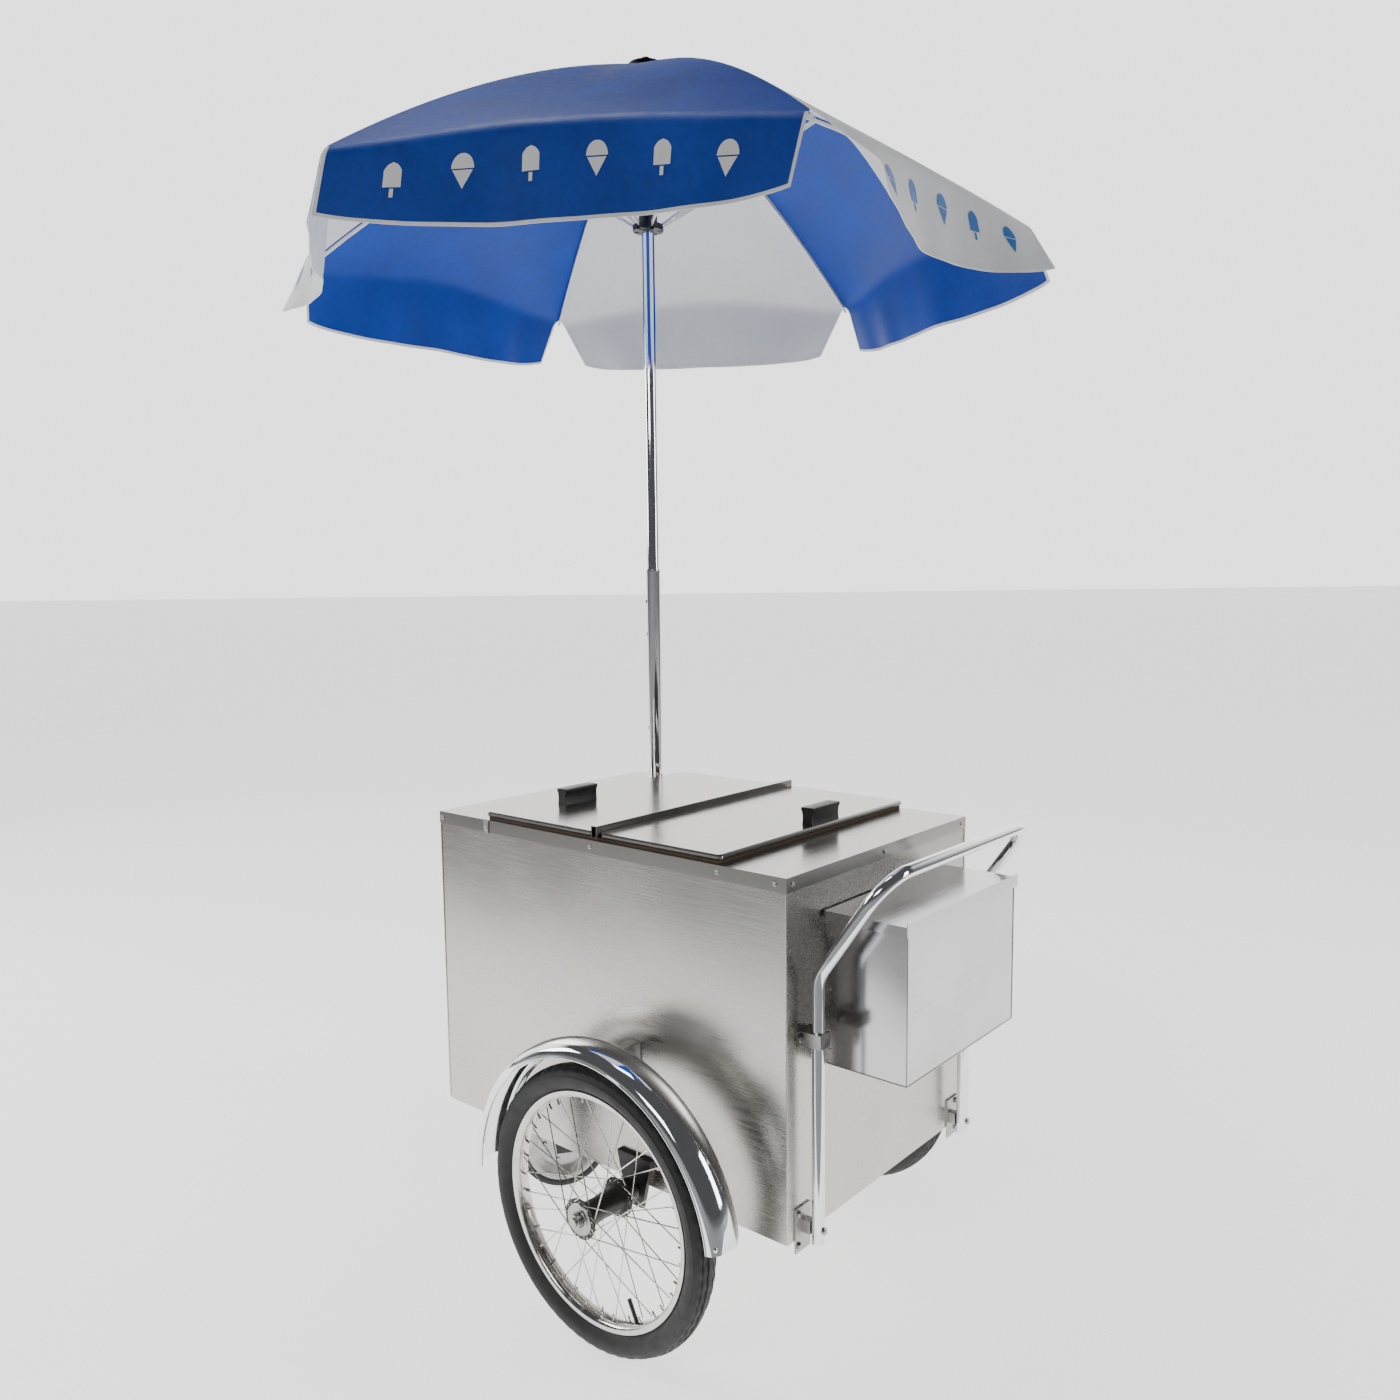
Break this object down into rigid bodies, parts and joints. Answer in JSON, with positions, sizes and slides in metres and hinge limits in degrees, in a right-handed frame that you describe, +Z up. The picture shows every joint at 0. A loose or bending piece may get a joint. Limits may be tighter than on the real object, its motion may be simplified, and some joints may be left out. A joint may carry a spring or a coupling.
{
  "type": "push vending cart",
  "caption": "Insulated push cart with spoked wheels, swivelling front caster, split lid, tubular push handle, utility box and folding umbrella.",
  "frame": {"origin": "bottom centre of the bounding box, on the ground", "axes": "+Z up, +X towards the push handle, -Y is the near side"},
  "size_m": [1.7238, 1.726, 2.5174],
  "materials": {
    "stainless": "brushed",
    "galvanised_sheet": "bright rolled",
    "chrome": "polished",
    "zinc_plate": "zinc plated",
    "black_steel": "satin",
    "black_plastic": "satin",
    "tyre_rubber": "matte",
    "gasket_rubber": "matte",
    "foam": "rigid foam",
    "white_enamel": "gloss",
    "canopy_cloth": "satin coated cloth"
  },
  "bodies": {
    "cart": {"axle": "zinc_plate", "axle_bracket_far": "black_steel", "axle_bracket_near": "black_steel", "cabinet_shell": "stainless", "caster_plate": "black_steel", "centre_bar": "stainless", "foot_bracket_far": "zinc_plate", "foot_bracket_near": "zinc_plate", "frame_rail_far": "black_steel", "frame_rail_near": "black_steel", "handle_clamp_far": "zinc_plate", "handle_clamp_near": "zinc_plate", "handlebar": "chrome", "inner_liner": "stainless", "insulation": "foam", "lid_gasket": "gasket_rubber", "mast_socket": "zinc_plate", "mudguard_far": "chrome", "mudguard_near": "chrome", "mudguard_stay_far": "zinc_plate", "mudguard_stay_near": "zinc_plate", "top_deck": "stainless", "utility_box": "galvanised_sheet"},
    "front_lid": {"lid_front": "stainless", "lid_handle_front": "black_plastic"},
    "rear_lid": {"lid_rear": "stainless", "lid_handle_rear": "black_plastic"},
    "utility_lid": {"utility_lid": "galvanised_sheet"},
    "near_wheel": {"tyre_near": "tyre_rubber", "rim_near": "chrome", "hub_and_spokes_near": "zinc_plate"},
    "far_wheel": {"tyre_far": "tyre_rubber", "rim_far": "chrome", "hub_and_spokes_far": "zinc_plate"},
    "caster_swivel": {"caster_fork": "black_steel"},
    "caster_wheel": {"caster_tyre": "tyre_rubber", "caster_disc": "zinc_plate"},
    "mast": {"lower_mast": "chrome"},
    "pole": {"upper_pole": "chrome", "crown": "black_plastic"},
    "button": {"snap_button": "black_plastic"},
    "runner": {"runner": "black_plastic"},
    "rib_arm_1": {"rib_1": "white_enamel", "canopy_1": "canopy_cloth"},
    "stretcher_arm_1": {"stretcher_1": "white_enamel"},
    "rib_arm_2": {"rib_2": "white_enamel", "canopy_2": "canopy_cloth"},
    "stretcher_arm_2": {"stretcher_2": "white_enamel"},
    "rib_arm_3": {"rib_3": "white_enamel", "canopy_3": "canopy_cloth"},
    "stretcher_arm_3": {"stretcher_3": "white_enamel"},
    "rib_arm_4": {"rib_4": "white_enamel", "canopy_4": "canopy_cloth"},
    "stretcher_arm_4": {"stretcher_4": "white_enamel"},
    "rib_arm_5": {"rib_5": "white_enamel", "canopy_5": "canopy_cloth"},
    "stretcher_arm_5": {"stretcher_5": "white_enamel"},
    "rib_arm_6": {"rib_6": "white_enamel", "canopy_6": "canopy_cloth"},
    "stretcher_arm_6": {"stretcher_6": "white_enamel"}
  },
  "joints": [
    {"name": "near_wheel_spin", "type": "hinge", "parent": "cart", "child": "near_wheel", "pos_m": [0.35808, -0.675, 0.257], "axis": [0, 1, 0], "continuous": true},
    {"name": "far_wheel_spin", "type": "hinge", "parent": "cart", "child": "far_wheel", "pos_m": [0.35808, 0.1192, 0.257], "axis": [0, 1, 0], "continuous": true},
    {"name": "caster_swivel_turn", "type": "hinge", "parent": "cart", "child": "caster_swivel", "pos_m": [-0.06902, -0.2779, 0.2], "axis": [0, 0, 1], "continuous": true},
    {"name": "caster_wheel_spin", "type": "hinge", "parent": "caster_swivel", "child": "caster_wheel", "pos_m": [-0.1063, -0.33115, 0.1], "axis": [-0.8192, 0.5736, 0], "continuous": true},
    {"name": "front_lid_hinge", "type": "hinge", "parent": "cart", "child": "front_lid", "pos_m": [0.25898, -0.2779, 0.9025], "axis": [0, 1, 0], "range_deg": [0, 85]},
    {"name": "rear_lid_hinge", "type": "hinge", "parent": "cart", "child": "rear_lid", "pos_m": [0.27498, -0.2779, 0.9025], "axis": [0, -1, 0], "range_deg": [0, 85]},
    {"name": "utility_lid_hinge", "type": "hinge", "parent": "cart", "child": "utility_lid", "pos_m": [0.69948, -0.2779, 0.808], "axis": [0, -1, 0], "range_deg": [0, 90]},
    {"name": "mast_lift", "type": "slide", "parent": "cart", "child": "mast", "axis": [0, 0, 1], "range_m": [0, 0.25]},
    {"name": "pole_height", "type": "slide", "parent": "mast", "child": "pole", "axis": [0, 0, 1], "range_m": [-0.3, 0], "deforming": ["snap_button"]},
    {"name": "snap_button_press", "type": "slide", "parent": "pole", "child": "button", "axis": [0.7604, 0.6494, 0], "range_m": [0, 0.004], "stiffness_N_per_m": 400},
    {"name": "runner_slide", "type": "slide", "parent": "pole", "child": "runner", "axis": [0, 0, 1], "range_m": [-0.4275, 0]},
    {"name": "rib_1_fold", "type": "hinge", "parent": "pole", "child": "rib_arm_1", "pos_m": [-0.08816, 0.01133, 2.49038], "axis": [-0.515, 0.8572, 0], "range_deg": [0, 54.8], "deforming": ["canopy_1"]},
    {"name": "stretcher_1_swing", "type": "hinge", "parent": "runner", "child": "stretcher_arm_1", "pos_m": [-0.08302, 0.01442, 2.15344], "axis": [0.515, -0.8572, 0], "range_deg": [0, 46.5]},
    {"name": "rib_2_fold", "type": "hinge", "parent": "pole", "child": "rib_arm_2", "pos_m": [-0.1074, 0.022, 2.49038], "axis": [-0.9998, -0.0175, 0], "range_deg": [0, 54.8], "deforming": ["canopy_2"]},
    {"name": "stretcher_2_swing", "type": "hinge", "parent": "runner", "child": "stretcher_arm_2", "pos_m": [-0.10751, 0.028, 2.15344], "axis": [0.9998, 0.0175, 0], "range_deg": [0, 46.5]},
    {"name": "rib_3_fold", "type": "hinge", "parent": "pole", "child": "rib_arm_3", "pos_m": [-0.12626, 0.01067, 2.49038], "axis": [-0.4848, -0.8746, 0], "range_deg": [0, 54.8], "deforming": ["canopy_3"]},
    {"name": "stretcher_3_swing", "type": "hinge", "parent": "runner", "child": "stretcher_arm_3", "pos_m": [-0.13151, 0.01358, 2.15344], "axis": [0.4848, 0.8746, 0], "range_deg": [0, 46.5]},
    {"name": "rib_4_fold", "type": "hinge", "parent": "pole", "child": "rib_arm_4", "pos_m": [-0.12588, -0.01133, 2.49038], "axis": [0.515, -0.8572, 0], "range_deg": [0, 54.8], "deforming": ["canopy_4"]},
    {"name": "stretcher_4_swing", "type": "hinge", "parent": "runner", "child": "stretcher_arm_4", "pos_m": [-0.13102, -0.01442, 2.15344], "axis": [-0.515, 0.8572, 0], "range_deg": [0, 46.5]},
    {"name": "rib_5_fold", "type": "hinge", "parent": "pole", "child": "rib_arm_5", "pos_m": [-0.10663, -0.022, 2.49038], "axis": [0.9998, 0.0175, 0], "range_deg": [0, 54.8], "deforming": ["canopy_5"]},
    {"name": "stretcher_5_swing", "type": "hinge", "parent": "runner", "child": "stretcher_arm_5", "pos_m": [-0.10653, -0.028, 2.15344], "axis": [-0.9998, -0.0175, 0], "range_deg": [0, 46.5]},
    {"name": "rib_6_fold", "type": "hinge", "parent": "pole", "child": "rib_arm_6", "pos_m": [-0.08778, -0.01067, 2.49038], "axis": [0.4848, 0.8746, 0], "range_deg": [0, 54.8], "deforming": ["canopy_6"]},
    {"name": "stretcher_6_swing", "type": "hinge", "parent": "runner", "child": "stretcher_arm_6", "pos_m": [-0.08253, -0.01358, 2.15344], "axis": [-0.4848, -0.8746, 0], "range_deg": [0, 46.5]}
  ],
  "couplings": [
    {"joint": "rib_1_fold", "follows": "runner_slide", "rad_per_m": -2.2291},
    {"joint": "stretcher_1_swing", "follows": "runner_slide", "rad_per_m": -1.8903},
    {"joint": "rib_2_fold", "follows": "runner_slide", "rad_per_m": -2.2291},
    {"joint": "stretcher_2_swing", "follows": "runner_slide", "rad_per_m": -1.8903},
    {"joint": "rib_3_fold", "follows": "runner_slide", "rad_per_m": -2.2291},
    {"joint": "stretcher_3_swing", "follows": "runner_slide", "rad_per_m": -1.8903},
    {"joint": "rib_4_fold", "follows": "runner_slide", "rad_per_m": -2.2291},
    {"joint": "stretcher_4_swing", "follows": "runner_slide", "rad_per_m": -1.8903},
    {"joint": "rib_5_fold", "follows": "runner_slide", "rad_per_m": -2.2291},
    {"joint": "stretcher_5_swing", "follows": "runner_slide", "rad_per_m": -1.8903},
    {"joint": "rib_6_fold", "follows": "runner_slide", "rad_per_m": -2.2291},
    {"joint": "stretcher_6_swing", "follows": "runner_slide", "rad_per_m": -1.8903}
  ]
}
